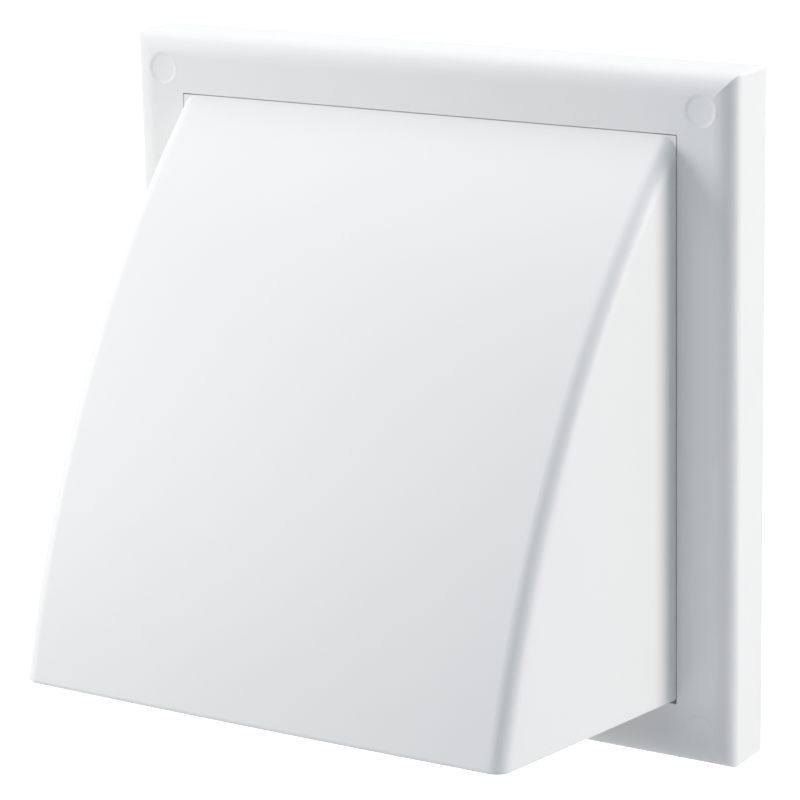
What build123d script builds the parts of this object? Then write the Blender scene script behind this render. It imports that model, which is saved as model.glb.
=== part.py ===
from build123d import *
import math
import os

# Hooded wall vent for a round duct: a moulded wall flange with a spigot behind it, a hood that
# clips into the flange, a gravity flap that hangs inside the hood, and a cap over each fixing screw.
# Millimetres. +X is to the right as seen from outdoors, +Y runs into the wall and +Z is up.
# The origin is on the duct's axis, in the plane of the wall.

# Duct spigot
DUCT_DIAMETER = 125.0        # inside of the duct that slides over the spigot
SPIGOT_CLEARANCE = 0.5       # radial
SPIGOT_WALL = 2.0
SPIGOT_LENGTH = 40.0         # from the wall plane to the spigot's end
SPIGOT_LEAD_IN = 1.0         # chamfer on the spigot's end

# Gravity flap and its hinge
FLAP_THICKNESS = 1.6
FLAP_OVERLAP = 3.0           # the flap reaches this far past its seat
FLAP_LEAN = 4.0              # degrees; the foot of the seat stands out, so gravity shuts the flap
FLAP_SEAT_GAP = 0.3
FLAP_RIM_WIDTH = 2.0         # stiffening rim round the flap's outdoor face
FLAP_RIM_HEIGHT = 1.4
HINGE_RISE = 5.0             # hinge axis above the top of the seat
HINGE_STANDOFF = 4.0         # hinge axis in front of the back plate
HINGE_BAR_DIAMETER = 5.0
HINGE_PIN_DIAMETER = 3.0
HINGE_PIN_CLEARANCE = 0.06   # radial
HINGE_PIN_PROUD = 0.5        # the pin's end stands past its lug
LUG_WALL = 2.0               # lug material round the pin's hole
LUG_THICKNESS = 4.0
LUG_SIDE_GAP = 0.5           # flap to lug
LUG_MOUTH = 2.6              # snap-in slot, narrower than the pin
LUG_TO_HOOD = 4.5            # lug to the inside of the hood

# Hood
HOOD_WALL = 2.5
HOOD_GAP = 0.2               # hood to the opening, at its top and sides
HOOD_DRIP_GAP = 0.8          # hood to the opening, below
HOOD_DEPTH = 105.5           # wall plane to the front lip, at the hood's sides
HOOD_CROWN = 1.0             # the front lip is this much deeper in its middle
HOOD_BOW = 12.4              # bulge of the front over a straight line from its top to its lip
HOOD_LIP_RISE = 7.7          # the open underside climbs this much towards the lip
HOOD_DRAFT = 1.86            # degrees; the sides lean in towards the front
HOOD_EDGE_RADIUS = 4.4       # rounding between the front and the sides
HOOD_LIP_ROUNDING = 1.0      # outer edge of the open underside
TONGUE_CLEARANCE = 0.5       # hood's tongue to the back plate
TONGUE_CORNER_INSET = 0.05   # the tongue's square corners lie this far inside the hood's outline

# Snap hooks on the hood's tongue and their windows in the flange
HOOK_SPACING = 80.0          # between the two hooks of a side
HOOK_LENGTH = 10.0
HOOK_DEPTH = 4.0             # along the wall of the tongue
HOOK_BITE = 1.3              # reach into the window
HOOK_SETBACK = 1.5           # from the tongue's end
WINDOW_CLEARANCE = 0.3

# Wall flange
FLANGE_WALL = 2.5
SKIRT_DEPTH = 13.7           # wall plane to the start of the rolled border, on the side faces
BORDER_WIDTH = 6.0           # rolled border, across the face
BORDER_RISE = 4.2            # rolled border, from the side faces to the panel
BORDER_HOLLOW_SHARE = 0.25   # least share of the border's roll that a thick wall leaves inside
BACK_PLATE_STANDOFF = 3.0    # wall plane to the back plate
RIB_COUNT = 3                # stiffening ribs behind each side of the panel
RIB_PITCH = 50.0
RIB_THICKNESS = 1.6
RIB_SETBACK = 2.0            # from the wall plane
FLANGE_CORNER_RADIUS = 1.0   # the skirt's four corners

# Fixing screws and their caps
SCREW_INSET = 6.5            # edge of the opening to the screw's axis
SCREW_MARGIN = 9.8           # screw's axis to the flange's edge
SCREW_HOLE_DIAMETER = 4.5
SCREW_FLOOR = 4.0            # material under the screw's head
HEAD_POCKET_DIAMETER = 8.2   # takes the head of a 4 mm screw
BOSS_WALL = 1.6
CAP_SEAT_DIAMETER = 9.4
CAP_THICKNESS = 1.6
CAP_RIM_WIDTH = 0.35         # flat rim, flush with the panel
CAP_DISH_SLOPE = 0.8         # width of the slope from the rim down to the dish
CAP_DISH_DEPTH = 0.28
CAP_PLUG_LENGTH = 2.5
CAP_PLUG_WALL = 0.9
CAP_CLEARANCE = 0.02         # radial

# Sizes that follow, across the flange
SPIGOT_RADIUS = DUCT_DIAMETER / 2 - SPIGOT_CLEARANCE
BORE_RADIUS = SPIGOT_RADIUS - SPIGOT_WALL
FLAP_RADIUS = SPIGOT_RADIUS + FLAP_OVERLAP
LUG_INNER_X = FLAP_RADIUS + LUG_SIDE_GAP
LUG_OUTER_X = LUG_INNER_X + LUG_THICKNESS
HOOD_HALF_WIDTH = LUG_OUTER_X + LUG_TO_HOOD + HOOD_WALL
OPENING_HALF = HOOD_HALF_WIDTH + HOOD_GAP
SOCKET_HALF = OPENING_HALF + FLANGE_WALL
SCREW_OFFSET = OPENING_HALF + SCREW_INSET
FLANGE_HALF = SCREW_OFFSET + SCREW_MARGIN
HOOD_TOP = OPENING_HALF - HOOD_GAP
HOOD_BOTTOM = HOOD_DRIP_GAP - OPENING_HALF

# Sizes that follow, from the wall plane towards the front
BACK_PLATE_REAR = -BACK_PLATE_STANDOFF
BACK_PLATE_FRONT = BACK_PLATE_REAR - FLANGE_WALL
PANEL_FRONT = -(SKIRT_DEPTH + BORDER_RISE)
PANEL_REAR = PANEL_FRONT + FLANGE_WALL
TONGUE_END = BACK_PLATE_FRONT - TONGUE_CLEARANCE
HOOK_END = TONGUE_END - HOOK_SETBACK
HOOK_CATCH = HOOK_END - HOOK_DEPTH
CAP_FACE = PANEL_FRONT + CAP_DISH_DEPTH
CAP_SEAT = CAP_FACE + CAP_THICKNESS

# Hinge frame: its origin is on the hinge axis, and its XZ plane is the middle of the shut flap
HINGE_Y = BACK_PLATE_FRONT - HINGE_STANDOFF
HINGE_Z = SPIGOT_RADIUS + HINGE_RISE
HINGE = Pos(0, HINGE_Y, HINGE_Z) * Rot(-FLAP_LEAN, 0, 0)
FLAP_HANG = HINGE_Z / math.cos(math.radians(FLAP_LEAN))
SEAT_PLANE = FLAP_THICKNESS / 2 + FLAP_SEAT_GAP
PIN_HOLE_RADIUS = HINGE_PIN_DIAMETER / 2 + HINGE_PIN_CLEARANCE
LUG_RADIUS = PIN_HOLE_RADIUS + LUG_WALL

FAR = 2 * FLANGE_HALF        # longer than any cut needs to be


def block(x_range, y_range, z_range):
    """A box between two limits along each axis."""
    size = [high - low for low, high in (x_range, y_range, z_range)]
    centre = [(high + low) / 2 for low, high in (x_range, y_range, z_range)]
    return Pos(*centre) * Box(*size)


def rod_along_y(radius, y_start, y_end):
    """A cylinder on the Y axis."""
    return Pos(0, (y_start + y_end) / 2, 0) * Rot(90, 0, 0) * Cylinder(radius, y_end - y_start)


def rod_along_x(radius, x_start, x_end):
    """A cylinder on the X axis."""
    return Pos((x_start + x_end) / 2, 0, 0) * Rot(0, 90, 0) * Cylinder(radius, x_end - x_start)


def screw_places():
    """Names and places of the four fixing screws."""
    for level, z in (("top", SCREW_OFFSET), ("bottom", -SCREW_OFFSET)):
        for side, x in (("left", -SCREW_OFFSET), ("right", SCREW_OFFSET)):
            yield f"{level}_{side}", Pos(x, 0, z)


def hook_places():
    """Side of the hood, as -1 or 1, and height of each snap hook."""
    return [(side, z) for side in (-1, 1) for z in (-HOOK_SPACING / 2, HOOK_SPACING / 2)]


def flange_form(inset):
    """The flange's outer form with its mitred rolled border, or, inset by its wall, its hollow."""
    half = FLANGE_HALF - inset
    front = PANEL_FRONT + inset
    width = max(BORDER_WIDTH - inset, BORDER_WIDTH * BORDER_HOLLOW_SHARE)
    rise = max(BORDER_RISE - inset, BORDER_RISE * BORDER_HOLLOW_SHARE)
    roll_x = half - width
    roll_y = front + rise
    outline = Polyline((half, roll_y), (half, 0), (-half, 0), (-half, roll_y))
    outline += EllipticalCenterArc((-roll_x, roll_y), width, rise, start_angle=180, arc_size=90)
    outline += Line((-roll_x, front), (roll_x, front))
    outline += EllipticalCenterArc((roll_x, roll_y), width, rise, start_angle=270, arc_size=90)
    bar = extrude(make_face(outline.edges()), amount=half, both=True)
    return bar & (Rot(0, 90, 0) * bar)


def flange_shell():
    """The hollow flange before anything is added to it, with the skirt's corners rounded."""
    side = 2 * FLANGE_HALF
    plan = Plane.XZ * RectangleRounded(side, side, FLANGE_CORNER_RADIUS)
    return (flange_form(0) & extrude(plan, amount=FAR, both=True)) - flange_form(FLANGE_WALL)


def flange_ribs():
    """Ribs across the channel behind the panel, on all four sides."""
    channel = (OPENING_HALF + FLANGE_WALL / 2, FLANGE_HALF)
    depth = (PANEL_FRONT, -RIB_SETBACK)
    first = -(RIB_COUNT - 1) / 2 * RIB_PITCH
    ribs = []
    for number in range(RIB_COUNT):
        z = first + number * RIB_PITCH
        rib = block(channel, depth, (z - RIB_THICKNESS / 2, z + RIB_THICKNESS / 2))
        ribs += [Rot(0, turn, 0) * rib for turn in (0, 90, 180, 270)]
    return (Part() + ribs) & flange_form(FLANGE_WALL / 2)


def hinge_lug(x_start, x_end):
    """A lug on the back plate that the flap's pin snaps into from the front."""
    lug = rod_along_x(LUG_RADIUS, x_start, x_end)
    lug += block((x_start, x_end), (0, HINGE_STANDOFF), (-LUG_RADIUS, LUG_RADIUS))
    lug -= rod_along_x(PIN_HOLE_RADIUS, x_start, x_end)
    lug -= block((x_start, x_end), (-FAR, 0), (-LUG_MOUTH / 2, LUG_MOUTH / 2))
    return Pos(0, HINGE_Y, HINGE_Z) * lug


def duct_tube():
    """The spigot, carried on through the back plate to the leaning seat of the flap."""
    tube = rod_along_y(SPIGOT_RADIUS, -FAR, SPIGOT_LENGTH)
    tube = chamfer(tube.edges().sort_by(Axis.Y)[-1], SPIGOT_LEAD_IN)
    behind_seat = HINGE * block((-FAR, FAR), (SEAT_PLANE, FAR), (-FAR, FAR))
    return tube & behind_seat


def make_flange():
    """Skirt, rolled border, panel, socket for the hood, back plate, spigot and screw bosses."""
    boss_radius = CAP_SEAT_DIAMETER / 2 + BOSS_WALL
    bosses = [place * rod_along_y(boss_radius, PANEL_REAR, 0) for _, place in screw_places()]
    socket_sides = (-SOCKET_HALF, SOCKET_HALF)
    socket = block(socket_sides, (PANEL_FRONT, BACK_PLATE_REAR), socket_sides)
    opening_sides = (-OPENING_HALF, OPENING_HALF)
    opening = block(opening_sides, (-FAR, BACK_PLATE_FRONT), opening_sides)
    flange = flange_shell() + [flange_ribs(), socket, *bosses] - opening
    lugs = [hinge_lug(LUG_INNER_X, LUG_OUTER_X), hinge_lug(-LUG_OUTER_X, -LUG_INNER_X)]
    flange = flange + [duct_tube(), *lugs]
    cuts = [rod_along_y(BORE_RADIUS, -FAR, FAR)]
    window_depth = (HOOK_CATCH - WINDOW_CLEARANCE, HOOK_END + WINDOW_CLEARANCE)
    window_half = HOOK_LENGTH / 2 + WINDOW_CLEARANCE
    for side, z in hook_places():
        across = sorted((side * HOOD_HALF_WIDTH, side * SOCKET_HALF))
        cuts.append(block(across, window_depth, (z - window_half, z + window_half)))
    for _, place in screw_places():
        cuts.append(place * rod_along_y(CAP_SEAT_DIAMETER / 2, -FAR, CAP_SEAT))
        cuts.append(place * rod_along_y(HEAD_POCKET_DIAMETER / 2, -FAR, -SCREW_FLOOR))
        cuts.append(place * rod_along_y(SCREW_HOLE_DIAMETER / 2, -FAR, FAR))
    return flange - cuts


def hood_section(x, crown, inset):
    """The hood's side profile at one place across it, or, inset by its wall, that of its hollow."""
    lip = (-(HOOD_DEPTH + crown), HOOD_BOTTOM + HOOD_LIP_RISE)
    bow = SagittaArc((PANEL_FRONT, HOOD_TOP), lip, -HOOD_BOW)
    centre = bow.arc_center
    radius = bow.radius - inset
    start_z = centre.Y + math.sqrt(radius**2 - (PANEL_FRONT - centre.X) ** 2)
    end_z = HOOD_BOTTOM - inset

    def front_at(z):
        return (centre.X - math.sqrt(radius**2 - (z - centre.Y) ** 2), z)

    outline = ThreePointArc((PANEL_FRONT, start_z), front_at((start_z + end_z) / 2), front_at(end_z))
    outline += Polyline(front_at(end_z), (PANEL_FRONT, end_z), (PANEL_FRONT, start_z))
    return Plane.YZ.offset(x) * make_face(outline.edges())


def hood_form(inset, edge_radius):
    """The crowned front between its two leaning sides, with the edges between them rounded."""
    stations = ((-HOOD_HALF_WIDTH, 0), (0, HOOD_CROWN), (HOOD_HALF_WIDTH, 0))
    crowned = loft([hood_section(x, crown, inset) for x, crown in stations])
    half = HOOD_HALF_WIDTH - inset
    narrow_half = half - HOOD_DEPTH * math.tan(math.radians(HOOD_DRAFT))
    narrow_y = PANEL_FRONT - HOOD_DEPTH
    plan = Polygon(
        (half, PANEL_FRONT),
        (narrow_half, narrow_y),
        (-narrow_half, narrow_y),
        (-half, PANEL_FRONT),
        align=None,
    )
    form = crowned & extrude(plan, amount=FAR, both=True)
    front = form.faces().filter_by(GeomType.PLANE, reverse=True)[0]
    side_edges = front.edges().sort_by(Axis.X)
    return fillet([side_edges[0], side_edges[-1]], edge_radius)


def hood_tongue(shell, hollow):
    """The ring behind the hood that goes into the flange's socket, closed below by a bar.

    The rounding between the hood's front and sides ends on the ring's square upper corners.
    """
    span = (PANEL_FRONT, TONGUE_END)
    depth = TONGUE_END - PANEL_FRONT
    above_bar = block((-FAR, FAR), span, (HOOD_BOTTOM + HOOD_WALL, FAR))
    corner_reach = 2 * HOOD_EDGE_RADIUS
    corner_x = (HOOD_HALF_WIDTH - corner_reach, HOOD_HALF_WIDTH - TONGUE_CORNER_INSET)
    corner_z = (HOOD_TOP - corner_reach, HOOD_TOP - TONGUE_CORNER_INSET)
    corner = block(corner_x, span, corner_z)
    ring = extrude(shell.faces().sort_by(Axis.Y)[-1], amount=depth)
    ring += [corner, mirror(corner, Plane.YZ)]
    return ring - (extrude(hollow.faces().sort_by(Axis.Y)[-1], amount=depth) & above_bar)


def snap_hook(side, z):
    """A barb on the outside of the tongue, sloped for entry and square at its catch."""
    foot = side * (HOOD_HALF_WIDTH - HOOD_WALL / 2)
    tip = side * (OPENING_HALF + HOOK_BITE)
    root = side * HOOD_HALF_WIDTH
    barb = Polygon((foot, HOOK_CATCH), (tip, HOOK_CATCH), (root, HOOK_END), (foot, HOOK_END), align=None)
    return Pos(0, 0, z) * extrude(barb, amount=HOOK_LENGTH / 2, both=True)


def make_hood():
    """An open-bottomed bowed shell with a tongue and snap hooks."""
    lip_y = -(HOOD_DEPTH + HOOD_CROWN)
    climb = HOOD_LIP_RISE / (HOOD_DEPTH + PANEL_FRONT)
    underside = Polygon(
        (PANEL_FRONT, HOOD_BOTTOM),
        (2 * lip_y, HOOD_BOTTOM + climb * (PANEL_FRONT - 2 * lip_y)),
        (2 * lip_y, -FAR),
        (PANEL_FRONT, -FAR),
        align=None,
    )
    shell = hood_form(0, HOOD_EDGE_RADIUS) - extrude(Plane.YZ * underside, amount=FAR, both=True)
    mouth_edges = shell.faces().sort_by(Axis.Z)[0].edges().sort_by(Axis.Y)[:-1]
    shell = fillet(mouth_edges, HOOD_LIP_ROUNDING)
    hollow = hood_form(HOOD_WALL, HOOD_EDGE_RADIUS - HOOD_WALL)
    tongue = hood_tongue(shell, hollow)
    return (shell - hollow) + [tongue, *[snap_hook(side, z) for side, z in hook_places()]]


def make_flap():
    """A D-shaped plate with a stiffening rim, a hinge bar along its top and a pin at each end."""
    sketch_plane = Plane.XZ
    outline = Pos(0, -FLAP_HANG) * Circle(FLAP_RADIUS)
    outline += Pos(0, -FLAP_HANG / 2) * Rectangle(2 * FLAP_RADIUS, FLAP_HANG)
    flap = extrude(sketch_plane * outline, amount=FLAP_THICKNESS / 2, both=True)
    rim = outline - offset(outline, -FLAP_RIM_WIDTH, kind=Kind.INTERSECTION)
    flap += extrude(sketch_plane.offset(FLAP_THICKNESS / 2) * rim, amount=FLAP_RIM_HEIGHT)
    flap += rod_along_x(HINGE_BAR_DIAMETER / 2, -FLAP_RADIUS, FLAP_RADIUS)
    pin_end = LUG_OUTER_X + HINGE_PIN_PROUD
    flap += rod_along_x(HINGE_PIN_DIAMETER / 2, -pin_end, pin_end)
    return HINGE * flap


def make_screw_cap():
    """A dished disc on a ledge, and a hollow plug that grips the pocket of the screw's head."""
    radius = CAP_SEAT_DIAMETER / 2 - CAP_CLEARANCE
    rim_radius = radius - CAP_RIM_WIDTH
    dish_radius = rim_radius - CAP_DISH_SLOPE
    plug_radius = HEAD_POCKET_DIAMETER / 2 - CAP_CLEARANCE
    plug_bore = plug_radius - CAP_PLUG_WALL
    plug_end = CAP_SEAT + CAP_PLUG_LENGTH
    section = Polygon(
        (0, CAP_FACE),
        (dish_radius, CAP_FACE),
        (rim_radius, PANEL_FRONT),
        (radius, PANEL_FRONT),
        (radius, CAP_SEAT),
        (plug_radius, CAP_SEAT),
        (plug_radius, plug_end),
        (plug_bore, plug_end),
        (plug_bore, CAP_SEAT),
        (0, CAP_SEAT),
        align=None,
    )
    return revolve(section, Axis.Y)


nodes = {"wall_flange": make_flange(), "hood": make_hood(), "flap": make_flap()}
screw_cap = make_screw_cap()
for corner, corner_place in screw_places():
    nodes[f"screw_cap_{corner}"] = corner_place * screw_cap

os.makedirs("parts", exist_ok=True)
for name, shape in nodes.items():
    export_step(shape, f"parts/{name}.step")
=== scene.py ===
"""Hooded wall vent: finishes for its moulded pieces, and a studio at the photograph's angle."""

import math

import bpy
from bpy.props import FloatProperty, FloatVectorProperty, PointerProperty
from mathutils import Matrix, Vector


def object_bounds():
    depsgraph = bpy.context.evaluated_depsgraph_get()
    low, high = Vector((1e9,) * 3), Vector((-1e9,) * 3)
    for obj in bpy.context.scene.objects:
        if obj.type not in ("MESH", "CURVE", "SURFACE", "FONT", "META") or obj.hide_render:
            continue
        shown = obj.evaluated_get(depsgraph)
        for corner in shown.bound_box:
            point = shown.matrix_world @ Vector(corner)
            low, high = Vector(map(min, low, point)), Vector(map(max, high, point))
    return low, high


bl_info = {
    "name": "Hooded wall vent",
    "version": (1, 0, 0),
    "blender": (4, 5, 0),
    "location": "3D View > Sidebar > Vent",
    "description": "Moulded plastic finishes and a studio for a hooded wall vent",
    "category": "Object",
}

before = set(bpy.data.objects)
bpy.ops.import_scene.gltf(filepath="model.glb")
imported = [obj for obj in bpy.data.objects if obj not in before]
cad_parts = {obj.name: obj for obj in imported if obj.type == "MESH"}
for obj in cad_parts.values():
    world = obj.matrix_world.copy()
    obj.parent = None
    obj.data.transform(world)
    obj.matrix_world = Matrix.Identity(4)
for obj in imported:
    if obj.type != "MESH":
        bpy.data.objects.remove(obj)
CAD_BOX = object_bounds()
CAP_NODES = [name for name in sorted(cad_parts) if name.startswith("screw_cap")]

# Places and sizes of the moulding marks, in metres
MICRON = 1e-6
MARK_FADE = 0.001
PANEL_FRONT_Y = -0.0179
RIB_PITCH = 0.05
SINK_HALF_WIDTH = 0.0022
FLANGE_PIN_OFFSET = 0.066
FLANGE_PIN_RADIUS = 0.003
FLAP_PIN_OFFSET = 0.036
FLAP_PIN_RADIUS = 0.0025
PIN_MARK_EDGE = 0.0003
GATE_RADIUS = 0.0016
CAP_OFFSET = 0.0832
CAP_DISH_EDGE = 0.00433
CAP_DISH_FLOOR = 0.00353
CAP_DISH_DEPTH = 0.00028
RING_PITCH = 0.0003
STREAK_LENGTH = 0.02

# What the marks add to the roughness
PIN_SHINE = -0.12
RING_SHINE = 0.04

# Noise: its middle value, and how many finer layers each use of it has
NOISE_MIDDLE = 0.5
CLOUD_DETAIL = 2.0
PATCH_DETAIL = 3.0
GRAIN_DETAIL = 1.0
STREAK_DETAIL = 2.0

# Refraction of the plastic, and the white that the background shows to the eye
PLASTIC_IOR = 1.49
WHITE = (1.0, 1.0, 1.0, 1.0)

# Soft boxes: bearing and height in degrees, distance and width in metres, power in watts
LAMPS = {
    "key_box": (-56.0, 16.0, 0.8, 0.5, 3.9),
    "overhead_box": (-10.0, 78.0, 1.2, 0.9, 5.25),
    "top_box": (-170.0, 75.0, 1.2, 0.7, 5.7),
    "rim_box": (116.0, 10.0, 1.3, 0.6, 11.4),
    "table_bounce": (5.0, -25.0, 0.5, 0.25, 0.38),
}


class VentPlastic(bpy.types.PropertyGroup):
    """The white plastic that every piece is moulded in."""

    white: FloatVectorProperty(
        name="White", description="Main colour of the plastic",
        subtype="COLOR", size=3, min=0, max=1, default=(0.817, 0.814, 0.809))
    clouding: FloatVectorProperty(
        name="Clouding", description="Colour of the faint clouds where the pigment lies thinner",
        subtype="COLOR", size=3, min=0, max=1, default=(0.799, 0.796, 0.791))
    cloud_size: FloatProperty(
        name="Cloud size", description="Width of the faint clouds",
        unit="LENGTH", min=0.001, default=0.055)
    roughness: FloatProperty(
        name="Roughness", description="Satin of the outdoor faces",
        subtype="FACTOR", min=0, max=1, default=0.52)
    matt_roughness: FloatProperty(
        name="Matt roughness", description="Finish of the flap",
        subtype="FACTOR", min=0, max=1, default=0.56)
    patch_size: FloatProperty(
        name="Patch size", description="Width of the patches that shine a little more or less",
        unit="LENGTH", min=0.001, default=0.011)
    patch_depth: FloatProperty(
        name="Patch depth", description="How much the roughness changes from patch to patch",
        subtype="FACTOR", min=0, max=1, default=0.07)
    grain_size: FloatProperty(
        name="Grain size", description="Width of the mould's spark-eroded grain",
        unit="LENGTH", min=0.0001, default=0.00055)
    grain_depth: FloatProperty(
        name="Grain depth", description="Depth of the mould's spark-eroded grain",
        unit="LENGTH", min=0, default=0.000006)
    sink_depth: FloatProperty(
        name="Sink depth", description="Depth of the sinks in the panel over the ribs behind it",
        unit="LENGTH", min=0, default=0.000012)
    pin_depth: FloatProperty(
        name="Pin mark depth",
        description="Depth of the ejector pins' marks, and height of the flap's trimmed gate",
        unit="LENGTH", min=0, default=0.00006)
    streak_width: FloatProperty(
        name="Streak width", description="Width of the hood's streaks along the draw of its mould",
        unit="LENGTH", min=0.0001, default=0.0012)
    streak_depth: FloatProperty(
        name="Streak depth", description="Depth of the hood's streaks along the draw of its mould",
        unit="LENGTH", min=0, default=0.000002)
    ring_depth: FloatProperty(
        name="Ring depth", description="Depth of the turned rings on the screw caps",
        unit="LENGTH", min=0, default=0.000001)
    dish_softness: FloatProperty(
        name="Dish softness", description="How far the screw caps' dish is rounded out",
        subtype="FACTOR", min=0, max=1, default=0.6)


class VentStudio(bpy.types.PropertyGroup):
    """Camera, floor and light."""

    azimuth: FloatProperty(
        name="Azimuth", description="Camera's bearing, from straight in front towards the right",
        subtype="ANGLE", default=math.radians(31.886))
    elevation: FloatProperty(
        name="Elevation", description="Camera's height above the horizon",
        subtype="ANGLE", default=math.radians(14.771))
    roll: FloatProperty(
        name="Roll", description="Camera's turn about its own axis",
        subtype="ANGLE", default=math.radians(-1.21))
    distance: FloatProperty(
        name="Distance", description="Camera to its target",
        unit="LENGTH", min=0.1, default=0.933555)
    target: FloatVectorProperty(
        name="Target", description="Point in the middle of the picture",
        subtype="XYZ", size=3, default=(-0.018992, 0.0, -0.008746))
    lens: FloatProperty(
        name="Lens", description="Focal length in millimetres",
        min=10, default=150.18)
    floor_drop: FloatProperty(
        name="Floor drop",
        description="Lowest edge of the vent to the floor, as it hangs clear of it",
        unit="LENGTH", min=0, default=0.12)
    floor_width: FloatProperty(
        name="Floor width", description="Width of the floor",
        unit="LENGTH", min=1, default=24.0)
    floor_tone: FloatProperty(
        name="Floor tone", description="How much light the floor throws back at the vent",
        subtype="FACTOR", min=0, max=1, default=0.55)
    floor_lift: FloatProperty(
        name="Floor lift", description="What brings the lit floor up to white in the picture",
        min=0, max=1, default=0.9)
    lamp_colour: FloatVectorProperty(
        name="Lamp colour", description="Colour of the soft boxes",
        subtype="COLOR", size=3, min=0, max=1, default=(1.0, 0.952, 0.925))
    ambient: FloatVectorProperty(
        name="Ambient", description="Colour of the light from all round",
        subtype="COLOR", size=3, min=0, max=1, default=(0.61, 0.84, 1.0))
    ambient_strength: FloatProperty(
        name="Ambient strength", description="Strength of the light from all round",
        min=0, default=0.295)


class Field:
    """What a node gives out over a surface. Python's operators on it add Math nodes."""

    def __init__(self, tree, socket):
        self.tree = tree
        self.socket = socket

    def maths(self, operation, *others):
        """This field and others through one Math node."""
        return self.through(operation, self, *others)

    def through(self, operation, *operands):
        """Any fields and numbers through one Math node."""
        node = self.tree.nodes.new("ShaderNodeMath")
        node.operation = operation
        for socket, operand in zip(node.inputs, operands):
            connect(self.tree, operand, socket)
        return Field(self.tree, node.outputs[0])

    def __add__(self, other):
        return self.through("ADD", self, other)

    def __radd__(self, other):
        return self.through("ADD", other, self)

    def __sub__(self, other):
        return self.through("SUBTRACT", self, other)

    def __rsub__(self, other):
        return self.through("SUBTRACT", other, self)

    def __mul__(self, other):
        return self.through("MULTIPLY", self, other)

    def __rmul__(self, other):
        return self.through("MULTIPLY", other, self)

    def __truediv__(self, other):
        return self.through("DIVIDE", self, other)

    def __rtruediv__(self, other):
        return self.through("DIVIDE", other, self)

    def __abs__(self):
        return self.through("ABSOLUTE", self)


def connect(tree, value, socket):
    """Links a field to a socket, or sets a plain value on it."""
    if isinstance(value, Field):
        tree.links.new(value.socket, socket)
    else:
        socket.default_value = value


class NodeBench:
    """An empty node tree of a material or a world, to be filled node by node."""

    def __init__(self, owner):
        owner.use_nodes = True
        self.owner = owner
        self.tree = owner.node_tree
        self.tree.nodes.clear()

    def node(self, kind, settings=(), sockets=(), output=None):
        """Adds a node: its settings first, then the values or links of its sockets."""
        node = self.tree.nodes.new(kind)
        for name, value in dict(settings).items():
            setattr(node, name, value)
        inputs = {socket.identifier: socket for socket in node.inputs}
        for name, value in dict(sockets).items():
            connect(self.tree, value, inputs[name])
        outputs = {socket.identifier: socket for socket in node.outputs}
        first = next(iter(outputs), None)
        return Field(self.tree, outputs.get(output or first))

    def noise(self, place, size, detail):
        """Soft noise from 0 to 1 whose lumps are about as wide as size."""
        sockets = {"Vector": place, "Scale": 1 / size, "Detail": detail}
        return self.node("ShaderNodeTexNoise", sockets=sockets)

    def axis(self, place, letter):
        """One coordinate of a place."""
        return self.node("ShaderNodeSeparateXYZ", sockets={"Vector": place}, output=letter)

    def ramp(self, value, zero, one):
        """A smooth climb from 0 where the value is zero to 1 where it is one."""
        return self.node(
            "ShaderNodeMapRange", {"interpolation_type": "SMOOTHSTEP"},
            {"Value": value, "From Min": zero, "From Max": one})

    def from_corners(self, place, offset):
        """Distance from the nearest of four axes along Y, at plus and minus offset in X and Z."""
        across = abs(self.axis(place, "X")) - offset
        up = abs(self.axis(place, "Z")) - offset
        return (across * across + up * up).maths("SQRT")

    def pin_marks(self, place, offset, radius):
        """1 inside the round witness marks of four ejector pins."""
        return self.ramp(self.from_corners(place, offset), radius, radius - PIN_MARK_EDGE)


def rgba(colour):
    """A colour with full opacity, as the sockets take it."""
    return (*colour, 1.0)


def seen_by_eye(bench):
    """1 on camera, glossy and transmission rays, and 0 on the rays that light the vent."""
    camera = bench.node("ShaderNodeLightPath", output="Is Camera Ray")
    glossy = bench.node("ShaderNodeLightPath", output="Is Glossy Ray")
    through = bench.node("ShaderNodeLightPath", output="Is Transmission Ray")
    return camera.maths("MAXIMUM", glossy.maths("MAXIMUM", through))


def flange_marks(bench, place, plastic):
    """Sinks in the panel over the ribs, and pin marks on the back plate."""
    x, y, z = (bench.axis(place, letter) for letter in "XYZ")
    along = abs(x).maths("MINIMUM", abs(z))
    from_rib = abs(along - RIB_PITCH * (along / RIB_PITCH).maths("ROUND"))
    on_front = bench.ramp(y, PANEL_FRONT_Y + MARK_FADE, PANEL_FRONT_Y)
    sinks = bench.ramp(from_rib, SINK_HALF_WIDTH, 0.0) * on_front
    mid_depth = PANEL_FRONT_Y / 2
    on_back = bench.ramp(y, mid_depth, mid_depth + MARK_FADE)
    pins = bench.pin_marks(place, FLANGE_PIN_OFFSET, FLANGE_PIN_RADIUS) * on_back
    height = sinks * -plastic.sink_depth - pins * plastic.pin_depth
    return height, pins * PIN_SHINE


def hood_marks(bench, place, plastic):
    """Faint streaks along the draw of the mould."""
    stretch = (1.0, plastic.streak_width / STREAK_LENGTH, 1.0)
    stretched = bench.node("ShaderNodeMapping", sockets={"Vector": place, "Scale": stretch})
    streaks = bench.noise(stretched, plastic.streak_width, STREAK_DETAIL) - NOISE_MIDDLE
    return streaks * plastic.streak_depth, streaks * plastic.patch_depth


def flap_marks(bench, place, plastic):
    """Pin marks, and the trimmed gate in the middle of the flap."""
    pins = bench.pin_marks(place, FLAP_PIN_OFFSET, FLAP_PIN_RADIUS)
    gate = bench.ramp(bench.from_corners(place, 0.0), GATE_RADIUS, 0.0)
    return gate * plastic.pin_depth - pins * plastic.pin_depth, pins * PIN_SHINE


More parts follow.
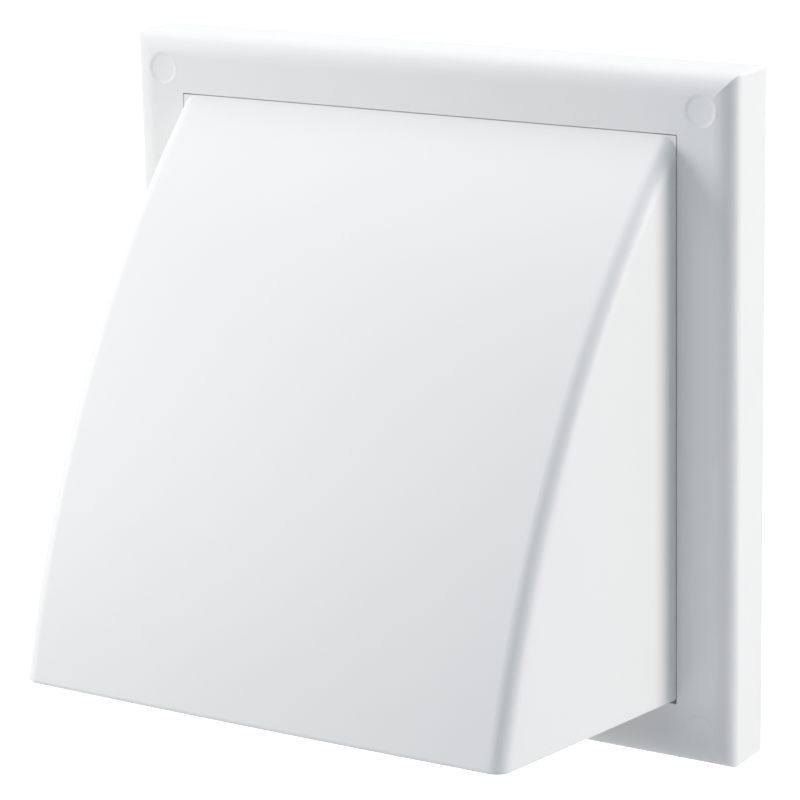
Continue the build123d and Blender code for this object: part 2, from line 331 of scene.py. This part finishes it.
def cap_marks(bench, place, plastic):
    """Rings from the turned mould insert, and a dish that is rounder than the solid's own."""
    reach = bench.from_corners(place, CAP_OFFSET)
    rings = (reach * (math.tau / RING_PITCH)).maths("SINE")
    share = (reach / CAP_DISH_EDGE).maths("MINIMUM", 1.0)
    round_dish = (share * share - 1) * CAP_DISH_DEPTH
    up_slope = ((reach - CAP_DISH_FLOOR) / (CAP_DISH_EDGE - CAP_DISH_FLOOR)).maths("MAXIMUM", 0.0)
    solid_dish = (up_slope.maths("MINIMUM", 1.0) - 1) * CAP_DISH_DEPTH
    softening = (round_dish - solid_dish) * plastic.dish_softness
    return softening + rings * plastic.ring_depth, rings * RING_SHINE


def moulded_plastic(name, plastic, roughness, marks):
    """White plastic with faint clouds, patches of shine, a fine grain and a piece's own marks.

    The marks give a height in metres and what is added to the roughness.
    """
    bench = NodeBench(bpy.data.materials.new(name))
    place = bench.node("ShaderNodeTexCoord", output="Object")
    clouds = bench.noise(place, plastic.cloud_size, CLOUD_DETAIL)
    patches = bench.noise(place, plastic.patch_size, PATCH_DETAIL) - NOISE_MIDDLE
    grain = bench.noise(place, plastic.grain_size, GRAIN_DETAIL)
    mark_height, mark_roughness = marks(bench, place, plastic)
    colour = bench.node(
        "ShaderNodeMix", {"data_type": "RGBA"},
        {"Factor_Float": clouds, "A_Color": rgba(plastic.white), "B_Color": rgba(plastic.clouding)},
        "Result_Color")
    height = (grain * plastic.grain_depth + mark_height) / MICRON
    normal = bench.node("ShaderNodeBump", sockets={"Height": height, "Distance": MICRON})
    shader = bench.node(
        "ShaderNodeBsdfPrincipled",
        sockets={
            "Base Color": colour,
            "Roughness": roughness + patches * plastic.patch_depth + mark_roughness,
            "IOR": PLASTIC_IOR,
            "Normal": normal,
        })
    bench.node("ShaderNodeOutputMaterial", sockets={"Surface": shader})
    return bench.owner


def dress(node_name, material):
    """Gives a moulding its finish, in each of its material slots."""
    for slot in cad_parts[node_name].material_slots:
        slot.material = material


class VENT_OT_finish_flange(bpy.types.Operator):
    """Gives the wall flange its satin moulded finish"""

    bl_idname = "vent.finish_flange"
    bl_label = "Finish wall flange"

    def execute(self, context):
        plastic = context.scene.vent_plastic
        material = moulded_plastic("flange_satin", plastic, plastic.roughness, flange_marks)
        dress("wall_flange", material)
        return {"FINISHED"}


class VENT_OT_finish_hood(bpy.types.Operator):
    """Gives the hood its satin moulded finish"""

    bl_idname = "vent.finish_hood"
    bl_label = "Finish hood"

    def execute(self, context):
        plastic = context.scene.vent_plastic
        material = moulded_plastic("hood_satin", plastic, plastic.roughness, hood_marks)
        dress("hood", material)
        return {"FINISHED"}


class VENT_OT_finish_flap(bpy.types.Operator):
    """Gives the gravity flap its matt finish"""

    bl_idname = "vent.finish_flap"
    bl_label = "Finish flap"

    def execute(self, context):
        plastic = context.scene.vent_plastic
        material = moulded_plastic("flap_matt", plastic, plastic.matt_roughness, flap_marks)
        dress("flap", material)
        return {"FINISHED"}


class VENT_OT_finish_caps(bpy.types.Operator):
    """Gives the screw caps their satin finish"""

    bl_idname = "vent.finish_caps"
    bl_label = "Finish screw caps"

    def execute(self, context):
        plastic = context.scene.vent_plastic
        material = moulded_plastic("cap_satin", plastic, plastic.roughness, cap_marks)
        for name in CAP_NODES:
            dress(name, material)
        return {"FINISHED"}


def direction(azimuth, elevation):
    """Unit vector towards a bearing from straight in front, at a height above the horizon."""
    flat = math.cos(elevation)
    return Vector((math.sin(azimuth) * flat, -math.cos(azimuth) * flat, math.sin(elevation)))


def aimed(azimuth, elevation, roll=0.0):
    """Turn of a camera or lamp that looks back from that direction."""
    swing = Matrix.Rotation(azimuth, 4, "Z")
    tilt = Matrix.Rotation(math.pi / 2 - elevation, 4, "X")
    return (swing @ tilt @ Matrix.Rotation(roll, 4, "Z")).to_euler()


def floor_finish(studio):
    """Pale floor that keeps the shadow, reads as white to the eye, and is clear from below."""
    bench = NodeBench(bpy.data.materials.new("studio_floor"))
    lit = bench.node("ShaderNodeBsdfDiffuse", sockets={"Color": rgba([studio.floor_tone] * 3)})
    glow = bench.node("ShaderNodeEmission", sockets={"Strength": studio.floor_lift})
    lift = bench.node(
        "ShaderNodeMixShader", sockets={"Fac": seen_by_eye(bench), "Shader_001": glow})
    upper = bench.node("ShaderNodeAddShader", sockets={"Shader": lit, "Shader_001": lift})
    below = bench.node("ShaderNodeNewGeometry", output="Backfacing")
    clear = bench.node("ShaderNodeBsdfTransparent")
    shader = bench.node(
        "ShaderNodeMixShader", sockets={"Fac": below, "Shader": upper, "Shader_001": clear})
    bench.node("ShaderNodeOutputMaterial", sockets={"Surface": shader})
    return bench.owner


def light_world(scene, studio):
    """Light from all round, with a white background for the eye."""
    scene.world = bpy.data.worlds.new("studio_world")
    bench = NodeBench(scene.world)
    glow = bench.node(
        "ShaderNodeBackground",
        sockets={"Color": rgba(studio.ambient), "Strength": studio.ambient_strength})
    white = bench.node("ShaderNodeBackground", sockets={"Color": WHITE})
    shader = bench.node(
        "ShaderNodeMixShader",
        sockets={"Fac": seen_by_eye(bench), "Shader": glow, "Shader_001": white})
    bench.node("ShaderNodeOutputWorld", sockets={"Surface": shader})


class VENT_OT_build_stage(bpy.types.Operator):
    """Sets up the floor, the soft boxes, the world and the camera"""

    bl_idname = "vent.build_stage"
    bl_label = "Build stage"

    def execute(self, context):
        scene = context.scene
        studio = scene.vent_studio
        scene.view_settings.view_transform = "Standard"
        bpy.ops.object.select_all(action="DESELECT")
        bpy.ops.mesh.primitive_plane_add(
            size=studio.floor_width, location=(0, 0, CAD_BOX[0].z - studio.floor_drop))
        floor = context.object
        floor.name = "studio_floor"
        floor.data.materials.append(floor_finish(studio))
        light_world(scene, studio)
        middle = (CAD_BOX[0] + CAD_BOX[1]) / 2
        for name, (bearing, height, distance, width, power) in LAMPS.items():
            azimuth, elevation = math.radians(bearing), math.radians(height)
            bpy.ops.object.light_add(
                type="AREA",
                location=middle + distance * direction(azimuth, elevation),
                rotation=aimed(azimuth, elevation))
            lamp = context.object
            lamp.name = name
            lamp.data.shape = "DISK"
            lamp.data.size = width
            lamp.data.energy = power
            lamp.data.color = studio.lamp_colour
            lamp.visible_camera = False
        offset = studio.distance * direction(studio.azimuth, studio.elevation)
        bpy.ops.object.camera_add(
            location=Vector(studio.target) + offset,
            rotation=aimed(studio.azimuth, studio.elevation, studio.roll))
        scene.camera = context.object
        scene.camera.data.lens = studio.lens
        return {"FINISHED"}


class VENT_PT_sidebar(bpy.types.Panel):
    """Lists the vent's operators and settings"""

    bl_label = "Hooded wall vent"
    bl_idname = "VENT_PT_sidebar"
    bl_space_type = "VIEW_3D"
    bl_region_type = "UI"
    bl_category = "Vent"

    def draw(self, context):
        for operator in OPERATORS:
            self.layout.operator(operator.bl_idname)
        for group in (context.scene.vent_plastic, context.scene.vent_studio):
            box = self.layout.box()
            for name in group.bl_rna.properties.keys():
                if name not in ("rna_type", "name"):
                    box.prop(group, name)


OPERATORS = (
    VENT_OT_finish_flange,
    VENT_OT_finish_hood,
    VENT_OT_finish_flap,
    VENT_OT_finish_caps,
    VENT_OT_build_stage,
)
CLASSES = (VentPlastic, VentStudio, *OPERATORS, VENT_PT_sidebar)


def register():
    for cls in CLASSES:
        bpy.utils.register_class(cls)
    bpy.types.Scene.vent_plastic = PointerProperty(type=VentPlastic)
    bpy.types.Scene.vent_studio = PointerProperty(type=VentStudio)


def unregister():
    del bpy.types.Scene.vent_studio
    del bpy.types.Scene.vent_plastic
    for cls in reversed(CLASSES):
        bpy.utils.unregister_class(cls)


def main():
    register()
    bpy.ops.vent.finish_flange()
    bpy.ops.vent.finish_hood()
    bpy.ops.vent.finish_flap()
    bpy.ops.vent.finish_caps()
    bpy.ops.vent.build_stage()


if __name__ == "__main__":
    main()
